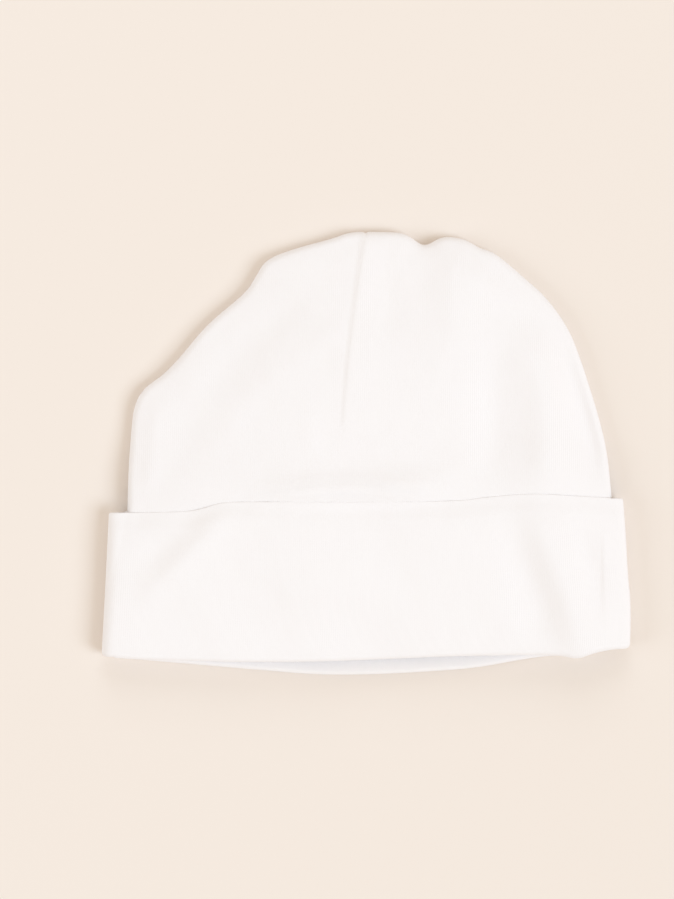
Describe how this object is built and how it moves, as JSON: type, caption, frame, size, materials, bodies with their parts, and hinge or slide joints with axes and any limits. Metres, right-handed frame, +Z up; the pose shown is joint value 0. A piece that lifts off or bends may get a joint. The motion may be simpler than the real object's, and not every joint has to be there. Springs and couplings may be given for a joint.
{
  "type": "baby nightcap",
  "caption": "Soft domed newborn's cap of white jersey with a dart down the crown and a deep turned-up cuff, lying flat.",
  "frame": {"origin": "centre of the bottom of the cap's box, on the surface it lies on", "axes": "+X across the cap to the wearer's left seen from the front, +Y up to the top of the crown, +Z up from the table through the front layer"},
  "size_m": [0.1748, 0.1466, 0.0147],
  "materials": {
    "crown_jersey": "matt white single cotton jersey",
    "cuff_jersey": "matt white doubled cotton jersey"
  },
  "bodies": {
    "root": {"crown": "crown_jersey", "cuff": "cuff_jersey"}
  },
  "joints": []
}
